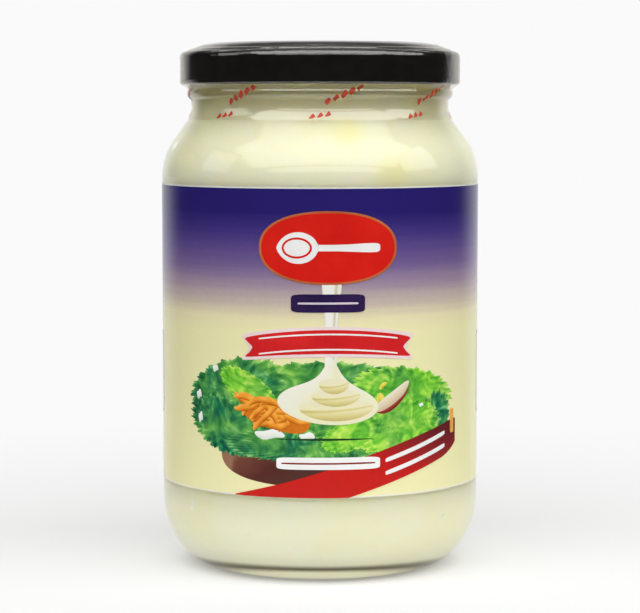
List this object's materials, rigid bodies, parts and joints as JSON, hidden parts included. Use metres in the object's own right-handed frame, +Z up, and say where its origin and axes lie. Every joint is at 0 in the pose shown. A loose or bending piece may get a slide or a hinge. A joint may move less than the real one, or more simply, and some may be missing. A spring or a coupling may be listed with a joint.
{
  "type": "mayonnaise jar",
  "caption": "Round glass jar filled with mayonnaise, with a twist-off lid, a wrap-round label and a clear shrink band over the lid and neck.",
  "frame": {"origin": "middle of the base, in the plane of the surface that the jar stands on", "axes": "+Z up the jar's axis towards the lid; the label's front faces -Y, and +X is to the right of someone who looks at that front"},
  "size_m": [0.0924, 0.0924, 0.1514],
  "materials": {
    "clear_glass": "clear, smooth, with a faint mould seam",
    "mayonnaise": "creamy, lightly glossy",
    "black_tinplate": "glossy black lacquer",
    "label_paper": "coated paper, printed violet fading to cream",
    "clear_film": "thin clear shrink film with red marks"
  },
  "bodies": {
    "root": {"glass_jar": "clear_glass", "mayonnaise": "mayonnaise", "lid": "black_tinplate", "label": "label_paper", "film_band": "clear_film"}
  },
  "joints": []
}
